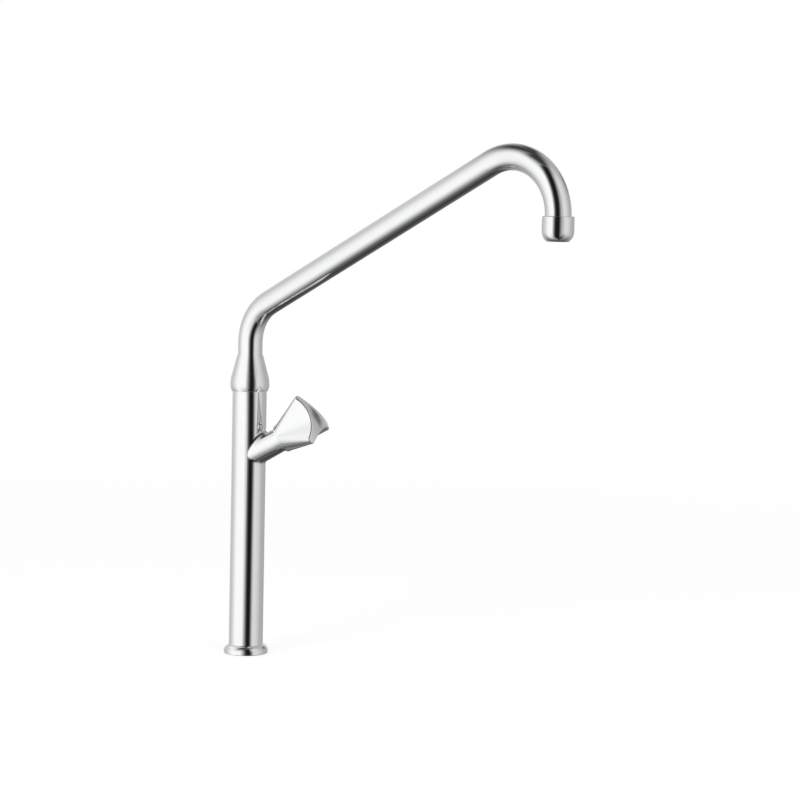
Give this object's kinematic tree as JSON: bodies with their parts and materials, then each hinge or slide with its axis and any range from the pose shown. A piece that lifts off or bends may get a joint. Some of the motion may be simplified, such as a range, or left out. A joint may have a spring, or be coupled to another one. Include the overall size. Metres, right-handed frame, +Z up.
{
  "type": "pillar tap",
  "caption": "Tall chromed pillar tap with a long swivel gooseneck spout, a slanted side valve with a triangular knob, and a threaded tail under a round foot.",
  "frame": {"origin": "where the column's axis meets the deck, in the plane of the foot's underside", "axes": "+Z up along the column, +X along the spout at rest; the valve branch is turned 13.5 degrees from +X towards +Y"},
  "size_m": [0.3327, 0.0546, 0.4642],
  "materials": {
    "chrome": "polished chrome plate on brass",
    "brass": "turned brass",
    "steel": "turned stainless steel",
    "rubber": "moulded black rubber",
    "fibre": "red fibre sheet",
    "nylon": "moulded white nylon"
  },
  "bodies": {
    "column": {"base_flange": "chrome", "base_seal": "rubber", "threaded_shank": "brass", "deck_rubber_washer": "rubber", "deck_metal_washer": "steel", "lock_nut": "brass", "column_body": "chrome", "valve_seat": "steel", "bonnet_washer": "fibre", "bonnet": "brass", "nipple_slip_washer": "nylon", "nut_slip_ring": "nylon", "spout_nut": "chrome"},
    "spout": {"spout_tube": "chrome", "spout_spigot": "brass", "spigot_o_ring_lower": "rubber", "spigot_o_ring_upper": "rubber", "outlet_ferrule": "brass", "aerator_housing": "chrome", "aerator_seal": "rubber", "aerator_insert": "nylon", "inlet_strainer": "steel", "flow_grid": "nylon"},
    "knob": {"knob": "chrome", "knob_set_screw": "steel", "spindle": "brass", "spindle_o_ring_lower": "rubber", "spindle_o_ring_upper": "rubber", "spindle_clip": "steel"},
    "plug": {"valve_plug": "brass", "valve_washer": "rubber", "washer_screw": "steel"}
  },
  "joints": [
    {"name": "spout_swivel", "type": "hinge", "parent": "column", "child": "spout", "pos_m": [0, 0, 0.2264], "axis": [0, 0, 1], "continuous": true},
    {"name": "knob_turn", "type": "hinge", "parent": "column", "child": "knob", "pos_m": [0, 0, 0.1599], "axis": [0.8463, 0.2032, 0.4924], "range_deg": [0, 720]},
    {"name": "plug_slide", "type": "slide", "parent": "column", "child": "plug", "axis": [0.8463, 0.2032, 0.4924], "range_m": [0, 0.004]}
  ],
  "couplings": [
    {"joint": "plug_slide", "follows": "knob_turn", "m_per_rad": 0.0003183}
  ]
}
